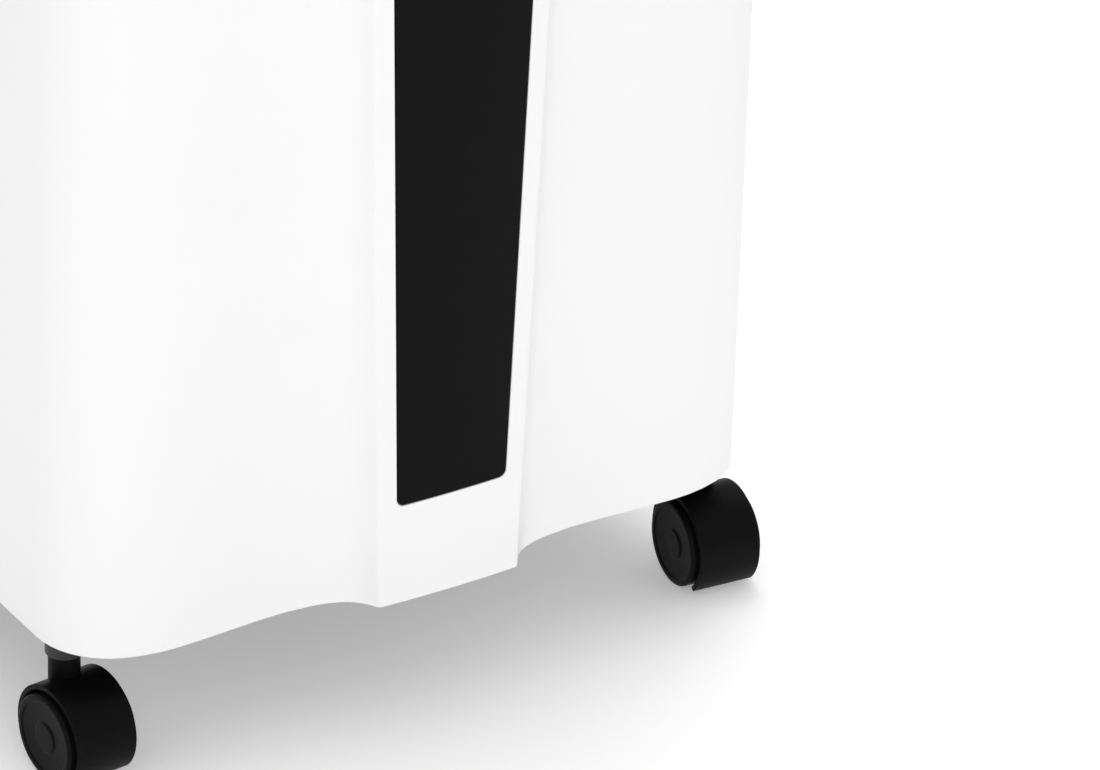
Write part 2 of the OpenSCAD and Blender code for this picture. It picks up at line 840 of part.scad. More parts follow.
module drain_nozzle() {
    color(trim_black) translate([nozzle_x, 0, nozzle_z]) difference() {
        union() {
            rod_y(nozzle_d, spout_well_y - 2, rear_y);
            rod_y(nozzle_d + 2, tray_y1, spout_well_y - 1);
            rod_y(nozzle_d + 6, tray_y1, tray_y1 + 3);
        }
        rod_y(nozzle_bore, tray_y1 - 1, rear_y + 1);
    }
}

module drain_plug() {
    color("dimgray") translate([nozzle_x, 0, nozzle_z]) {
        rod_y(nozzle_bore - 0.7, rear_y - 14, rear_y + 0.5);
        rod_y(nozzle_d - 1, rear_y + 0.3, plug_y);
        rod_y(7, plug_y - 3, plug_y);
    }
}

// ---- compressor --------------------------------------------------------------------------

module compressor() {
    color(trim_black) translate([comp_x, comp_y, 0]) {
        translate([0, 0, comp_z]) rotate_extrude($fn = 96) polygon(concat(
            [[0, 0], [comp_r - 16, 0]],
            arc(comp_r - 12, 12, 12, -90, 0, 6),
            [[comp_r, comp_h / 2 - 4], [comp_r + 1.5, comp_h / 2 - 2], [comp_r + 1.5, comp_h / 2 + 2],
             [comp_r, comp_h / 2 + 4]],
            arc(comp_r - 26, comp_h - 26, 26, 0, 90, 8),
            [[0, comp_h]]));
        translate([12, 0, comp_z + comp_h - 2]) cylinder(h = 9, d = 30);
        difference() {
            translate([0, 0, comp_z - 3]) for (a = foot_turns) rotate(a)
                box(0, foot_r + 11, -11, 11, 0, 3.2);
            for (a = foot_turns) rotate(a) translate([foot_r, 0, comp_z - 4])
                cylinder(h = 6, d = 12);
        }
    }
}

module compressor_grommets() {
    color("dimgray") at_comp_feet() translate([0, 0, pan_z + pan_t + 3]) difference() {
        union() {
            cylinder(h = comp_z - pan_z - pan_t - 6, d = 20);
            cylinder(h = comp_z - pan_z - pan_t, d = 11.6);
            translate([0, 0, comp_z - pan_z - pan_t - 2.8]) cylinder(h = 3, d = 18);
        }
        translate([0, 0, -1]) cylinder(h = 30, d = 7);
    }
}

module compressor_studs() {
    color("silver") at_comp_feet() {
        translate([0, 0, pan_z]) cylinder(h = comp_z - pan_z + 12, d = 6);
        translate([0, 0, pan_z - 2]) cylinder(h = 2, d = 12);
        translate([0, 0, comp_z + 3.4]) cylinder(h = 5, d = 11.5, $fn = 6);
        translate([0, 0, comp_z + 3.2]) cylinder(h = 0.4, d = 14);
    }
}

module accumulator() {
    color(trim_black) translate([comp_x - 84, comp_y - 8, comp_z + 40]) {
        cylinder(h = 90, d = 40);
        translate([0, 0, 90]) cylinder(h = 8, d1 = 40, d2 = 12);
        translate([0, 0, -8]) cylinder(h = 8, d1 = 12, d2 = 40);
        translate([18, 3, 40]) rotate([90, 0, 90]) box(-6, 6, 0, 3, 0, 10.9);
    }
}

module refrigerant_pipes() {
    coil_x = coil_w / 2 + 1;
    low = coil_z + coil_h / tube_rows / 2;
    high = coil_z + coil_h - coil_h / tube_rows / 2;
    cond_mid = cond_y + coil_t / 2;
    evap_mid = evap_y + coil_t / 2;
    color("peru") {
        tube([[comp_x + 12, comp_y, comp_z + comp_h + 7], [comp_x + 12, comp_y, 292],
              [-178, comp_y, 292], [-178, 0, 292], [-178, cond_mid, 312], [-178, cond_mid, low],
              [-coil_x, cond_mid, low]], 6);
        tube([[comp_x - 84, comp_y - 8, comp_z + 138], [comp_x - 84, comp_y - 8, 248],
              [comp_x - 84, -12, 284], [-164, -12, 284], [-164, 14, 300], [-164, evap_mid, 320],
              [-164, evap_mid, low], [-coil_x, evap_mid, low]], 8);
        tube([[-coil_x, cond_mid, high], [-150, cond_mid, high], [-150, evap_mid, high],
              [-coil_x, evap_mid, high]], 4);
    }
}

// ---- electrical parts --------------------------------------------------------------------

module board_box() {
    color(inner_grey) translate([-172, -96, pan_z + pan_t + 6.4]) difference() {
        cube([96, 84, 150]);
        translate([2, 2, 2]) cube([92, 80, 150]);
        for (z = [40:14:124]) translate([-1, 20, z]) cube([4, 44, 5]);
    }
}

module control_board() {
    color("darkgreen") translate([-166, -90, pan_z + pan_t + 14]) {
        cube([1.6, 70, 120]);
        translate([1.6, 8, 12]) cube([22, 26, 30]);
        translate([1.6, 44, 20]) cube([15, 18, 14]);
        translate([1.6, 12, 60]) cube([10, 40, 8]);
        for (y = [14, 30, 46]) translate([1.6, y, 90]) rotate([0, 90, 0]) cylinder(h = 18, d = 12);
    }
}

module run_capacitor() {
    color("gainsboro") translate([160, -52, pan_z + pan_t]) {
        cylinder(h = 70, d = 34);
        translate([0, 0, 70]) cylinder(h = 3, d = 30);
        for (x = [-7, 7]) translate([x, 0, 73]) box(-0.4, 0.4, -3, 3, 0, 8);
    }
}

module cord_gland() {
    color(trim_black) translate([gland_x, 0, gland_z]) difference() {
        union() {
            rod_y(14, rear_y - 10, rear_y + 0.5);
            rod_y(20, rear_y, plug_y - 0.2);
            rod_y(18, rear_y - 8, rear_y - wall - slip);
        }
        rod_y(7.4, rear_y - 12, plug_y + 1);
    }
}

module grip_cups() {
    color(trim_black) both_sides() translate([0, grip_y, grip_z]) rotate([90, 0, 90])
        translate([0, 0, half_w - grip_depth]) difference() {
            slab(grip_l, grip_h, 11.7, grip_depth - 0.2);
            translate([0, 0, 2]) slab(grip_l - 4.4, grip_h - 4.4, 9.5, grip_depth);
        }
}

// ---- casters -----------------------------------------------------------------------------

// places children, built about the axle, at a corner: sx, sy pick the corner
module at_caster(sx, sy) {
    translate([sx * stem_x, sy * stem_y, wheel_r]) rotate(-sx * rest_turn) translate([0, -trail, 0])
        children();
}

module caster_frame() {
    sector = 70;
    difference() {
        union() {
            difference() {
                union() {
                    rod_x(2 * hood_r, -hood_w / 2, hood_w / 2, $fn = 96);
                    translate([0, trail, 0]) cylinder(h = boss_z - wheel_r - 0.4, d = 16);
                }
                rod_x(2 * (wheel_r + hood_gap), -hood_w / 2 - 1, hood_w / 2 + 1, $fn = 96);
            }
            rod_x(2 * (wheel_r + hood_gap + 1), -web_t / 2, web_t / 2, $fn = 96);
        }
        rotate([45, 0, 0]) box(-40, 40, -sector, 2, -sector, 0);
        rotate([-14, 0, 0]) box(-40, 40, -2, sector, -sector, 0);
        rod_x(axle_d + 0.1, -web_t, web_t);
    }
    difference() {
        rod_x(13, -web_t / 2, web_t / 2);
        rod_x(axle_d + 0.1, -web_t, web_t);
    }
    translate([0, trail, boss_z - wheel_r - 1]) cylinder(h = socket_top - boss_z - 6, d = stem_d);
}

module caster_axle() {
    rod_x(axle_d, -caster_w / 2 + 4, caster_w / 2 - 4);
}

module caster_wheel() {
    outer = caster_w / 2;
    rotate([0, 90, 0]) rotate_extrude($fn = 96) polygon(concat(
        [[axle_d / 2, web_t / 2 + wheel_gap], [7, web_t / 2 + wheel_gap], [9, web_t / 2 + wheel_gap + 1],
         [wheel_r - 1.2, web_t / 2 + wheel_gap + 1], [wheel_r, web_t / 2 + wheel_gap + 2.2]],
        arc(wheel_r - 1.6, outer - 1.6, 1.6, 0, 90, 4),
        [[wheel_r - 3.4, outer], [wheel_r - 4, outer - 0.7], [8.4, outer - 1.2], [7.6, outer - 0.4],
         [0, outer - 0.4], [0, outer - 4], [axle_d / 2, outer - 4]]));
}

module caster_wheels() {
    caster_wheel();
    mirror([1, 0, 0]) caster_wheel();
}

module caster_fr_frame() { color(trim_black) at_caster(1, -1) caster_frame(); }
module caster_fr_axle() { color("silver") at_caster(1, -1) caster_axle(); }
module caster_fr_wheels() { color(trim_black) at_caster(1, -1) caster_wheels(); }
module caster_fl_frame() { color(trim_black) at_caster(-1, -1) caster_frame(); }
module caster_fl_axle() { color("silver") at_caster(-1, -1) caster_axle(); }
module caster_fl_wheels() { color(trim_black) at_caster(-1, -1) caster_wheels(); }
module caster_rr_frame() { color(trim_black) at_caster(1, 1) caster_frame(); }
module caster_rr_axle() { color("silver") at_caster(1, 1) caster_axle(); }
module caster_rr_wheels() { color(trim_black) at_caster(1, 1) caster_wheels(); }
module caster_rl_frame() { color(trim_black) at_caster(-1, 1) caster_frame(); }
module caster_rl_axle() { color("silver") at_caster(-1, 1) caster_axle(); }
module caster_rl_wheels() { color(trim_black) at_caster(-1, 1) caster_wheels(); }

front_shell();
front_strip();
rear_shell();
base_pan();
top_cover();
control_panel();
display_window();
power_button();
mode_button();
timer_button();
more_button();
less_button();
outlet_guard();
outlet_flap();
flap_motor();
intake_grille();
filter_frame();
filter_mesh();
bucket();
bucket_lid();
bucket_handle();
bucket_float();
level_switch();
bucket_bay();
drip_tray();
drain_nozzle();
drain_plug();
compressor();
compressor_grommets();
compressor_studs();
accumulator();
evaporator_fins();
evaporator_tubes();
condenser_fins();
condenser_tubes();
refrigerant_pipes();
coil_shroud();
blower_wheel();
blower_shaft();
fan_motor();
fan_scroll();
board_box();
control_board();
run_capacitor();
humidity_sensor();
cord_gland();
grip_cups();
case_screws();
caster_fr_frame();
caster_fr_axle();
caster_fr_wheels();
caster_fl_frame();
caster_fl_axle();
caster_fl_wheels();
caster_rr_frame();
caster_rr_axle();
caster_rr_wheels();
caster_rl_frame();
caster_rl_axle();
caster_rl_wheels();
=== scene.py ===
"""Finishes and stage for the portable dehumidifier."""

import json
import math

import bpy
from bpy.props import FloatProperty, FloatVectorProperty, PointerProperty
from mathutils import Matrix, Vector


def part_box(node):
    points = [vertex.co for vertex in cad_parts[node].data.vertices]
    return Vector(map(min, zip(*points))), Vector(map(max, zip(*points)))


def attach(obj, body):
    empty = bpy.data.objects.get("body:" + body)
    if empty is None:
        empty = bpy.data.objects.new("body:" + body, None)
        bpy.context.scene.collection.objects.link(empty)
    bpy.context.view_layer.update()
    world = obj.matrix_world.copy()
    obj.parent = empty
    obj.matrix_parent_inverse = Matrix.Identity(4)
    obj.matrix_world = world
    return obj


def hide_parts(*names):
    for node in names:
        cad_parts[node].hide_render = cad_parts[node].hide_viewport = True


bl_info = {
    "name": "Dehumidifier finishes",
    "version": (1, 0, 0),
    "blender": (4, 5, 0),
    "location": "3D Viewport > Sidebar > Dehumidifier",
    "description": "Builds the finished casings, controls, casters and inner parts of a dehumidifier",
    "category": "Object",
}

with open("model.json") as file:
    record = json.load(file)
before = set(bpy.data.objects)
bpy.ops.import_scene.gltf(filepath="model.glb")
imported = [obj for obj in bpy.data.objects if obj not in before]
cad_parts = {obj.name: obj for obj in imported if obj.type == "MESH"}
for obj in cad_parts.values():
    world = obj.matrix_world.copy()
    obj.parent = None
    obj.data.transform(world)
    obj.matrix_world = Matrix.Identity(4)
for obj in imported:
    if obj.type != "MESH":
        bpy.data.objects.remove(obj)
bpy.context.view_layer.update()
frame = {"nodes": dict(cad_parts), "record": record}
BODY_OF = {node: body for body, nodes in frame["record"]["behaviour"]["bodies"].items() for node in nodes}
SLOT_OF = {part["node"]: part["material_slot"] for part in frame["record"]["subparts"]}
CORNERS = ("fr", "fl", "rr", "rl")
FINISHED = "_finished"
FLAT_ANGLE = math.radians(0.12)
EDGE_ANGLE = math.radians(38)
SMOOTH_ANGLE = math.radians(32)
MERGE_GAP = 0.000015
FLOOR_SIZE = 14
FLOOR_GLOW = 0.26
DIGIT_GLOW = 0.9
SKY_STRENGTH = 0.74
DUST_COLOUR = (0.42, 0.4, 0.37, 1)
DIGIT_COLOUR = (0.45, 0.85, 1.0, 1)
BLACK = (0, 0, 0, 1)
WHITE = (1, 1, 1, 1)
METAL = {"pattern": "lines", "metallic": 1.0}


# ---- settings ---------------------------------------------------------------------------


class CasingSettings(bpy.types.PropertyGroup):
    edge: FloatProperty(
        name="Edge radius", description="Rounding of the casing edges", default=0.00045, unit="LENGTH")
    colour: FloatVectorProperty(
        name="Casing colour", description="White of the casings",
        default=(0.88, 0.88, 0.878), size=3, subtype="COLOR")
    strip: FloatVectorProperty(
        name="Strip colour", description="Black of the front strip",
        default=(0.0035, 0.0035, 0.0037), size=3, subtype="COLOR")


class CasterSettings(bpy.types.PropertyGroup):
    colour: FloatVectorProperty(
        name="Caster colour", description="Black of the casters",
        default=(0.0035, 0.0035, 0.0037), size=3, subtype="COLOR")
    edge: FloatProperty(
        name="Hood edge", description="Rounding of the hood edges", default=0.0003, unit="LENGTH")


class StageSettings(bpy.types.PropertyGroup):
    azimuth: FloatProperty(
        name="Azimuth", description="Camera turn to the left of the front",
        default=math.radians(33.5), unit="ROTATION")
    elevation: FloatProperty(
        name="Elevation", description="Camera height angle", default=math.radians(29.5), unit="ROTATION")
    roll: FloatProperty(name="Roll", description="Camera roll", default=0.035, unit="ROTATION")
    lens: FloatProperty(
        name="Lens", description="Focal length in millimetres on a 36 mm sensor", default=242.18)
    place: FloatVectorProperty(
        name="Camera place", description="Camera position",
        default=(-1.6779, -2.7585, 1.9454), size=3, subtype="XYZ")
    key: FloatProperty(name="Key light", description="Power of the key light in watts", default=24.0)
    fill: FloatProperty(name="Front light", description="Power of the front light in watts", default=15.0)


# ---- pattern groups ---------------------------------------------------------------------


def group_shell(name, inputs, outputs):
    tree = bpy.data.node_groups.new(name, "ShaderNodeTree")
    for label, value in inputs:
        socket = tree.interface.new_socket(name=label, in_out="INPUT", socket_type="NodeSocketFloat")
        socket.default_value = value
    for label in outputs:
        tree.interface.new_socket(name=label, in_out="OUTPUT", socket_type="NodeSocketFloat")
    return tree, tree.nodes.new("NodeGroupInput"), tree.nodes.new("NodeGroupOutput")


def add(tree, kind, **values):
    node = tree.nodes.new(kind)
    for key, value in values.items():
        if hasattr(node, key):
            setattr(node, key, value)
        else:
            node.inputs[key.replace("_", " ")].default_value = value
    return node


def link(tree, source, target):
    tree.links.new(source, target)


def maths(tree, operation, a, b=None, clamp=False):
    node = add(tree, "ShaderNodeMath", operation=operation)
    node.use_clamp = clamp
    for socket, value in zip(node.inputs, (a, b)):
        if value is None:
            continue
        if isinstance(value, (int, float)):
            socket.default_value = value
        else:
            link(tree, value, socket)
    return node.outputs[0]


def scaled_place(tree, stretch=(1, 1, 1)):
    place = add(tree, "ShaderNodeTexCoord")
    mapping = add(tree, "ShaderNodeMapping")
    mapping.inputs["Scale"].default_value = stretch
    link(tree, place.outputs["Object"], mapping.inputs["Vector"])
    return mapping.outputs[0]


def grain_group():
    """Spark-eroded grain of moulded plastic: a fine height, a slow tone and a dust mask."""
    tree, given, out = group_shell(
        "Moulded grain", [("Scale", 900.0), ("Tone scale", 14.0)], ["Height", "Tone", "Dust"])
    place = scaled_place(tree)
    fine = add(tree, "ShaderNodeTexNoise", Detail=3.0, Roughness=0.6)
    pits = add(tree, "ShaderNodeTexVoronoi")
    slow = add(tree, "ShaderNodeTexNoise", Detail=4.0, Roughness=0.55)
    for node, factor in ((fine, 1.0), (pits, 0.7)):
        link(tree, place, node.inputs["Vector"])
        link(tree, maths(tree, "MULTIPLY", given.outputs["Scale"], factor), node.inputs["Scale"])
    link(tree, place, slow.inputs["Vector"])
    link(tree, given.outputs["Tone scale"], slow.inputs["Scale"])
    height = maths(tree, "ADD", fine.outputs[0], maths(tree, "MULTIPLY", pits.outputs["Distance"], 0.5))
    surface = add(tree, "ShaderNodeNewGeometry")
    split = add(tree, "ShaderNodeSeparateXYZ")
    link(tree, surface.outputs["Normal"], split.inputs[0])
    up = maths(tree, "POWER", maths(tree, "MAXIMUM", split.outputs["Z"], 0.0), 3.0)
    link(tree, height, out.inputs["Height"])
    link(tree, slow.outputs[0], out.inputs["Tone"])
    link(tree, maths(tree, "MULTIPLY", up, slow.outputs[0], True), out.inputs["Dust"])
    return tree


def lines_group():
    """Drawing or rolling lines along X on metal."""
    tree, given, out = group_shell("Drawn lines", [("Scale", 60.0)], ["Height", "Tone"])
    place = scaled_place(tree, (1, 30, 30))
    lines = add(tree, "ShaderNodeTexNoise", Detail=4.0, Roughness=0.7)
    link(tree, place, lines.inputs["Vector"])
    link(tree, given.outputs["Scale"], lines.inputs["Scale"])
    stain = add(tree, "ShaderNodeTexNoise", Scale=22.0, Detail=5.0)
    link(tree, scaled_place(tree), stain.inputs["Vector"])
    link(tree, lines.outputs[0], out.inputs["Height"])
    link(tree, stain.outputs[0], out.inputs["Tone"])
    return tree


def weave_group():
    """Plain woven net in the XZ plane."""
    tree, given, out = group_shell("Net weave", [("Depth", 1.0)], ["Height", "Tone"])
    place = scaled_place(tree)
    waves = []
    for axis in ("X", "Z"):
        wave = add(tree, "ShaderNodeTexWave", wave_type="BANDS", bands_direction=axis,
                   Scale=260.0, Distortion=0.4)
        link(tree, place, wave.inputs["Vector"])
        waves.append(wave.outputs["Fac"])
    top = maths(tree, "MAXIMUM", waves[0], waves[1])
    link(tree, maths(tree, "MULTIPLY", top, given.outputs["Depth"]), out.inputs["Height"])
    link(tree, top, out.inputs["Tone"])
    return tree


def near(tree, value, centre, reach):
    """One where value lies within reach of centre, else nought."""
    return maths(tree, "LESS_THAN", maths(tree, "ABSOLUTE", maths(tree, "SUBTRACT", value, centre)), reach)


def digits_group():
    """Two seven-segment digits, upright along Y, as a mask on the display window."""
    tree, given, out = group_shell("Lit digits", [("Level", 1.0)], ["Mask"])
    low, high = (Vector(corner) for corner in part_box("display_window"))
    middle = (low + high) / 2
    tall = (high.y - low.y) * 0.3
    wide, bar = tall * 0.5, tall * 0.13
    split = add(tree, "ShaderNodeSeparateXYZ")
    link(tree, scaled_place(tree), split.inputs[0])
    total = None
    for digit in (-1, 1):
        centre = middle.x + digit * wide * 1.7
        bars = [(centre, middle.y + level * tall, wide, bar) for level in (-1, 0, 1)]
        bars += [(centre - wide, middle.y + tall / 2, bar, tall / 2),
                 (centre + wide, middle.y - tall / 2, bar, tall / 2)]
        for x, y, half_x, half_y in bars:
            inside = maths(tree, "MULTIPLY", near(tree, split.outputs["X"], x, half_x),
                           near(tree, split.outputs["Y"], y, half_y))
            total = inside if total is None else maths(tree, "MAXIMUM", total, inside)
    link(tree, maths(tree, "MULTIPLY", total, given.outputs["Level"]), out.inputs["Mask"])
    return tree


# ---- finishes ---------------------------------------------------------------------------


def finish(name, colour, rough, tone, spread, scale, depth, pattern="grain",
           metallic=0.0, dust=0.0, shine=0.5):
    """One surface finish.

    colour is the middle tone and tone how far it drifts; rough and spread are the same for roughness."""
    material = bpy.data.materials.new(name + FINISHED)
    material.use_nodes = True
    tree = material.node_tree
    shader = tree.nodes["Principled BSDF"]
    pattern_node = add(tree, "ShaderNodeGroup", node_tree=bpy.data.node_groups[
        {"grain": "Moulded grain", "lines": "Drawn lines", "weave": "Net weave"}[pattern]])
    if "Scale" in pattern_node.inputs:
        pattern_node.inputs["Scale"].default_value = scale
    mix = add(tree, "ShaderNodeMix", data_type="RGBA")
    mix.inputs["A"].default_value = (*[c * (1 - tone) for c in colour], 1)
    mix.inputs["B"].default_value = (*[min(1, c * (1 + tone)) for c in colour], 1)
    link(tree, pattern_node.outputs["Tone"], mix.inputs["Factor"])
    tint = mix.outputs["Result"]
    if dust:
        veil = add(tree, "ShaderNodeMix", data_type="RGBA")
        veil.inputs["B"].default_value = DUST_COLOUR
        link(tree, tint, veil.inputs["A"])
        link(tree, maths(tree, "MULTIPLY", pattern_node.outputs["Dust"], dust, True), veil.inputs["Factor"])
        tint = veil.outputs["Result"]
    link(tree, tint, shader.inputs["Base Color"])
    level = maths(tree, "MULTIPLY", pattern_node.outputs["Tone"], spread)
    link(tree, maths(tree, "ADD", level, rough - spread / 2, True), shader.inputs["Roughness"])
    bump = add(tree, "ShaderNodeBump", Distance=depth, Strength=0.6)
    link(tree, pattern_node.outputs["Height"], bump.inputs["Height"])
    link(tree, bump.outputs[0], shader.inputs["Normal"])
    shader.inputs["Metallic"].default_value = metallic
    shader.inputs["Specular IOR Level"].default_value = shine
    return material


def lit_display(material):
    """Adds softly lit digits to the display window's finish."""
    tree = material.node_tree
    shader = tree.nodes["Principled BSDF"]
    digits = add(tree, "ShaderNodeGroup", node_tree=bpy.data.node_groups["Lit digits"])
    glow = add(tree, "ShaderNodeMix", data_type="RGBA")
    glow.inputs["A"].default_value = BLACK
    glow.inputs["B"].default_value = DIGIT_COLOUR
    link(tree, digits.outputs["Mask"], glow.inputs["Factor"])
    link(tree, glow.outputs["Result"], shader.inputs["Emission Color"])
    shader.inputs["Emission Strength"].default_value = DIGIT_GLOW


# Slot: colour, roughness, tone drift, roughness drift, pattern scale, bump depth, other values.
# A colour of None is one of the settings.
FINISHES = {
    "casing_white": (None, 0.42, 0.012, 0.06, 1500.0, 0.000006, {}),
    "strip_black": (None, 0.36, 0.12, 0.1, 1300.0, 0.000008, {"shine": 0.06}),
    "trim_black": ((0.013, 0.013, 0.0135), 0.5, 0.15, 0.12, 1100.0, 0.00003, {"dust": 0.05}),
    "panel_black": ((0.006, 0.006, 0.0065), 0.34, 0.1, 0.05, 1500.0, 0.000003, {"shine": 0.12}),
    "display_glass": ((0.01, 0.016, 0.02), 0.1, 0.1, 0.03, 1500.0, 0.000001, {"shine": 0.35}),
    "button_grey": ((0.52, 0.52, 0.52), 0.38, 0.03, 0.08, 1600.0, 0.000008, {}),
    "inner_grey": ((0.2, 0.21, 0.22), 0.55, 0.06, 0.1, 700.0, 0.00004, {"dust": 0.25}),
    "filter_net": ((0.035, 0.038, 0.042), 0.7, 0.45, 0.1, 900.0, 0.0003, {"pattern": "weave"}),
    "tank_frost": ((0.6, 0.64, 0.66), 0.45, 0.04, 0.1, 800.0, 0.00003, {}),
    "float_orange": ((0.75, 0.16, 0.025), 0.6, 0.12, 0.15, 500.0, 0.0001, {}),
    "rubber": ((0.022, 0.022, 0.022), 0.75, 0.2, 0.15, 600.0, 0.00006, {"dust": 0.2}),
    "compressor_black": ((0.012, 0.012, 0.013), 0.38, 0.2, 0.15, 300.0, 0.0001, {"dust": 0.2}),
    "zinc": ((0.6, 0.61, 0.6), 0.34, 0.12, 0.2, 80.0, 0.00001, METAL),
    "fin_aluminium": ((0.76, 0.77, 0.78), 0.3, 0.06, 0.18, 60.0, 0.00001, METAL),
    "copper": ((0.72, 0.32, 0.18), 0.32, 0.2, 0.25, 60.0, 0.00002, METAL),
    "board_green": ((0.012, 0.09, 0.035), 0.35, 0.2, 0.1, 400.0, 0.00003, {}),
    "sensor_white": ((0.75, 0.75, 0.73), 0.5, 0.03, 0.1, 800.0, 0.00003, {}),
    "caster_black": (None, 0.42, 0.2, 0.14, 1200.0, 0.00002, {"shine": 0.06}),
    "axle_steel": ((0.6, 0.6, 0.61), 0.25, 0.08, 0.15, 90.0, 0.00001, METAL),
    "wheel_black": (None, 0.38, 0.2, 0.16, 1000.0, 0.00002, {"shine": 0.06}),
}


def all_finishes(scene):
    for group in (digits_group, grain_group, lines_group, weave_group):
        group()
    colours = {
        "casing_white": scene.dehumidifier_casing.colour,
        "strip_black": scene.dehumidifier_casing.strip,
        "caster_black": scene.dehumidifier_caster.colour,
        "wheel_black": scene.dehumidifier_caster.colour,
    }
    for slot, (colour, *numbers, others) in FINISHES.items():
        material = finish(slot, colour or colours[slot], *numbers, **others)
        if slot == "display_glass":
            lit_display(material)


# ---- modelling helpers ------------------------------------------------------------------


def bench(piece):
    """Puts one object alone on the bench, selected and active."""
    bpy.ops.object.select_all(action="DESELECT")
    piece.hide_viewport = False
    piece.select_set(True)
    bpy.context.view_layer.objects.active = piece
    return piece


def modify(piece, kind, **values):
    tool = piece.modifiers.new(kind.title(), kind)
    for key, value in values.items():
        setattr(tool, key, value)
    bench(piece)
    bpy.ops.object.modifier_apply(modifier=tool.name)


def dress(piece, slot_name):
    piece.data.materials.clear()
    piece.data.materials.append(bpy.data.materials[slot_name + FINISHED])


def paint_nodes(*nodes):
    """Gives CAD nodes that stay as they are their finish."""
    for node in nodes:
        part = frame["nodes"][node]
        part.data.materials.clear()
        part.data.materials.append(bpy.data.materials[SLOT_OF[node] + FINISHED])


def refine(node, edge, segments=2, flats=True):
    """A copy of a CAD node with its seams merged, edges rounded and faces shaded smooth.

    flats joins the triangles of each flat face first, which a face with many holes doesn't allow."""
    piece = bpy.data.objects.new(node + FINISHED, frame["nodes"][node].data.copy())
    bpy.context.scene.collection.objects.link(piece)
    bench(piece)
    bpy.ops.object.mode_set(mode="EDIT")
    bpy.ops.mesh.select_all(action="SELECT")
    bpy.ops.mesh.remove_doubles(threshold=MERGE_GAP)
    bpy.ops.mesh.dissolve_degenerate(threshold=0.00001)
    if flats:
        bpy.ops.mesh.dissolve_limited(angle_limit=FLAT_ANGLE)
    bpy.ops.object.mode_set(mode="OBJECT")
    if edge:
        modify(piece, "BEVEL", width=edge, segments=segments, limit_method="ANGLE",
               angle_limit=EDGE_ANGLE, use_clamp_overlap=False, miter_outer="MITER_ARC")
    modify(piece, "TRIANGULATE")
    bench(piece)
    bpy.ops.object.shade_smooth_by_angle(angle=SMOOTH_ANGLE)
    modify(piece, "WEIGHTED_NORMAL", keep_sharp=True, weight=60)
    dress(piece, SLOT_OF[node])
    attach(piece, BODY_OF[node])
    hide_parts(node)
    return piece


# ---- operators --------------------------------------------------------------------------


class BuildCasings(bpy.types.Operator):
    """Front and rear casings, top cover and base pan"""
    bl_idname = "dehumidifier.casings"
    bl_label = "Casings"

    def execute(self, context):
        edge = context.scene.dehumidifier_casing.edge
        refine("front_shell", edge, 3)
        refine("rear_shell", edge, 3)
        refine("top_cover", edge * 0.6)
        refine("base_pan", 0.00025, flats=False)
        refine("grip_cups", 0.0006)
        return {"FINISHED"}


class BuildStrip(bpy.types.Operator):
    """Dark strip let into the front column"""
    bl_idname = "dehumidifier.strip"
    bl_label = "Front strip"

    def execute(self, context):
        refine("front_strip", 0.0004, 3)
        return {"FINISHED"}


class BuildControls(bpy.types.Operator):
    """Control panel, display and push buttons"""
    bl_idname = "dehumidifier.controls"
    bl_label = "Controls"

    def execute(self, context):
        refine("control_panel", 0.00015)
        refine("display_window", 0.0003)
        for node in ("power_button", "mode_button", "timer_button", "more_button", "less_button"):
            refine(node, 0.0004, 3, flats=False)
        return {"FINISHED"}


class BuildOutlet(bpy.types.Operator):
    """Outlet flap, guard and flap motor"""
    bl_idname = "dehumidifier.outlet"
    bl_label = "Air outlet"

    def execute(self, context):
        refine("outlet_flap", 0.0002)
        refine("outlet_guard", 0.00015, flats=False)
        refine("flap_motor", 0.0002)
        return {"FINISHED"}


class BuildIntake(bpy.types.Operator):
    """Rear grille, filter frame, net and humidity sensor"""
    bl_idname = "dehumidifier.intake"
    bl_label = "Air intake"

    def execute(self, context):
        refine("intake_grille", 0.0002, flats=False)
        refine("filter_frame", 0.0002, flats=False)
        paint_nodes("filter_mesh", "humidity_sensor")
        return {"FINISHED"}


class BuildBucket(bpy.types.Operator):
    """Water bucket, lid, bail, float, tray and drain"""
    bl_idname = "dehumidifier.bucket"
    bl_label = "Water bucket"

    def execute(self, context):
        for node, edge in (("bucket_handle", 0.0005), ("bucket_float", 0.001), ("drain_nozzle", 0.0003),
                           ("drain_plug", 0.0004), ("bucket_bay", 0.0006), ("level_switch", 0.0004)):
            refine(node, edge)
        for node in ("bucket", "bucket_lid", "drip_tray"):
            refine(node, 0.00025, flats=False)
        return {"FINISHED"}


class BuildCooling(bpy.types.Operator):
    """Compressor, coils, pipes and blower"""
    bl_idname = "dehumidifier.cooling"
    bl_label = "Cooling set and blower"

    def execute(self, context):
        for node, edge in (("compressor", 0.00025), ("accumulator", 0.0005), ("compressor_grommets", 0.0005),
                           ("fan_motor", 0.0008)):
            refine(node, edge)
        for node in ("coil_shroud", "fan_scroll"):
            refine(node, 0.0004, flats=False)
        paint_nodes("compressor_studs", "evaporator_fins", "evaporator_tubes", "condenser_fins",
                    "condenser_tubes", "refrigerant_pipes", "blower_wheel", "blower_shaft")
        return {"FINISHED"}


class BuildElectrics(bpy.types.Operator):
    """Electrical box, board, capacitor, gland and screws"""
    bl_idname = "dehumidifier.electrics"
    bl_label = "Electrics"

    def execute(self, context):
        for node in ("run_capacitor", "cord_gland", "case_screws"):
            refine(node, 0.0003)
        refine("board_box", 0.00015, flats=False)
        paint_nodes("control_board")
        return {"FINISHED"}


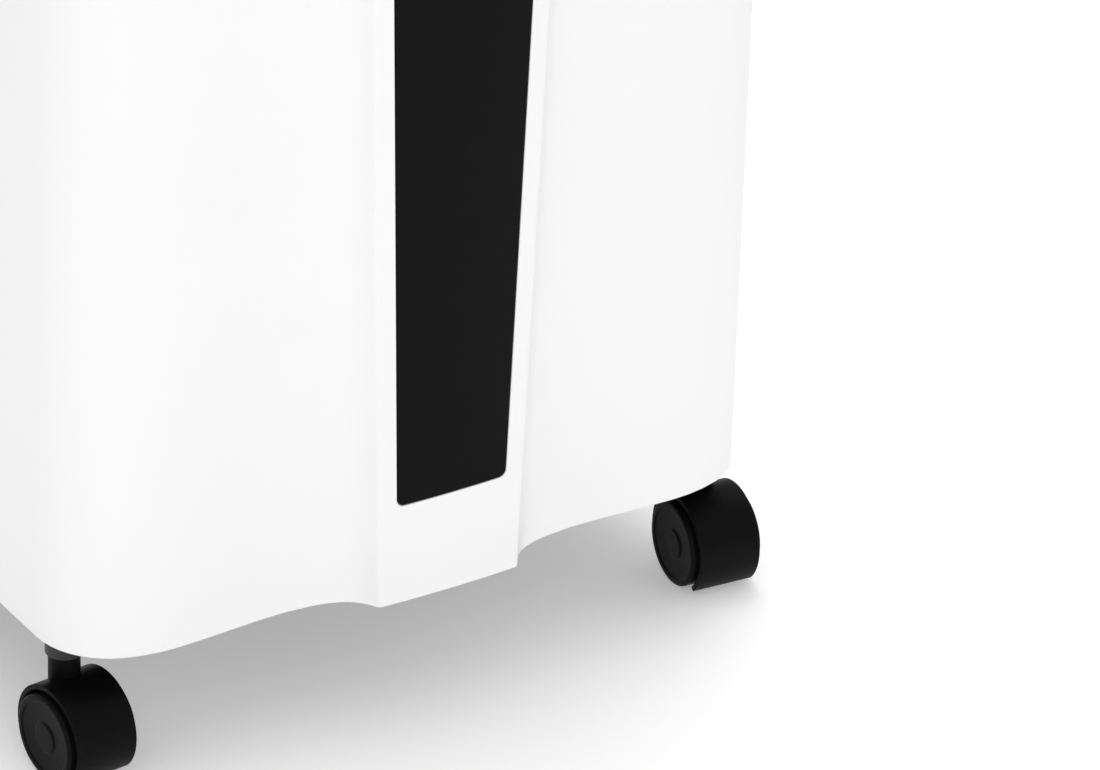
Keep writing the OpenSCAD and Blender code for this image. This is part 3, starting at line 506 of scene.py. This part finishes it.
class BuildCasters(bpy.types.Operator):
    """Four hooded twin-wheel casters"""
    bl_idname = "dehumidifier.casters"
    bl_label = "Casters"

    def execute(self, context):
        edge = context.scene.dehumidifier_caster.edge
        for corner in CORNERS:
            refine(f"caster_{corner}_frame", edge, 3)
            refine(f"caster_{corner}_wheels", 0.0004, 3)
            paint_nodes(f"caster_{corner}_axle")
        return {"FINISHED"}


def soft_light(name, place, aim, size, power):
    bpy.ops.object.light_add(type="AREA", location=place)
    lamp = bpy.context.object
    lamp.name = name
    lamp.data.size = size
    lamp.data.energy = power
    lamp.rotation_euler = (Vector(aim) - Vector(place)).to_track_quat("-Z", "Y").to_euler()
    return lamp


class BuildStage(bpy.types.Operator):
    """Pale floor, soft light and camera"""
    bl_idname = "dehumidifier.stage"
    bl_label = "Stage"

    def execute(self, context):
        stage = context.scene.dehumidifier_stage
        bpy.ops.object.select_all(action="DESELECT")
        bpy.ops.mesh.primitive_plane_add(size=FLOOR_SIZE, location=(0, 0, 0))
        floor = context.object
        floor.name = "studio_floor"
        paper = finish("studio_paper", (0.9, 0.9, 0.9), 0.8, 0.004, 0.05, 500.0, 0.00001)
        paper.node_tree.nodes["Principled BSDF"].inputs["Emission Strength"].default_value = FLOOR_GLOW
        floor.data.materials.append(paper)
        world = bpy.data.worlds.new("Studio")
        world.use_nodes = True
        sky = world.node_tree.nodes["Background"]
        sky.inputs["Color"].default_value = WHITE
        sky.inputs["Strength"].default_value = SKY_STRENGTH
        context.scene.world = world
        context.scene.view_settings.view_transform = "Standard"
        soft_light("key_light", (0.6, 0.9, 2.6), (0, 0, 0.2), 1.6, stage.key)
        soft_light("front_light", (-1.3, -2.6, 0.8), (0, 0, 0.1), 1.4, stage.fill)
        theta, phi, roll = stage.azimuth, stage.elevation, stage.roll
        across = Vector((math.cos(theta), -math.sin(theta), 0))
        up = Vector((math.sin(theta) * math.sin(phi), math.cos(theta) * math.sin(phi), math.cos(phi)))
        ahead = Vector((math.sin(theta) * math.cos(phi), math.cos(theta) * math.cos(phi), -math.sin(phi)))
        x_axis = across * math.cos(roll) + up * math.sin(roll)
        y_axis = up * math.cos(roll) - across * math.sin(roll)
        bpy.ops.object.camera_add()
        camera = context.object
        camera.name = "camera"
        turn = Matrix((x_axis, y_axis, -ahead)).transposed().to_4x4()
        camera.matrix_world = Matrix.Translation(stage.place) @ turn
        camera.data.lens = stage.lens
        camera.data.sensor_width = 36
        camera.data.clip_end = 50
        camera.data.dof.use_dof = False
        context.scene.camera = camera
        return {"FINISHED"}


STEPS = (BuildCasings, BuildStrip, BuildControls, BuildOutlet, BuildIntake, BuildBucket, BuildCooling,
         BuildElectrics, BuildCasters, BuildStage)


class DehumidifierPanel(bpy.types.Panel):
    bl_idname = "VIEW3D_PT_dehumidifier"
    bl_label = "Dehumidifier"
    bl_space_type = "VIEW_3D"
    bl_region_type = "UI"
    bl_category = "Dehumidifier"

    def draw(self, context):
        for step in STEPS:
            self.layout.operator(step.bl_idname)
        for group in ("casing", "caster", "stage"):
            settings = getattr(context.scene, "dehumidifier_" + group)
            for name in settings.__annotations__:
                self.layout.prop(settings, name)


SETTINGS = {"casing": CasingSettings, "caster": CasterSettings, "stage": StageSettings}


def register():
    for kind in (*SETTINGS.values(), *STEPS, DehumidifierPanel):
        bpy.utils.register_class(kind)
    for name, kind in SETTINGS.items():
        setattr(bpy.types.Scene, "dehumidifier_" + name, PointerProperty(type=kind))


def unregister():
    for name in SETTINGS:
        delattr(bpy.types.Scene, "dehumidifier_" + name)
    for kind in reversed((*SETTINGS.values(), *STEPS, DehumidifierPanel)):
        bpy.utils.unregister_class(kind)


def main():
    register()
    all_finishes(bpy.context.scene)
    for step in STEPS:
        group, name = step.bl_idname.split(".")
        getattr(getattr(bpy.ops, group), name)()


if __name__ == "__main__":
    main()
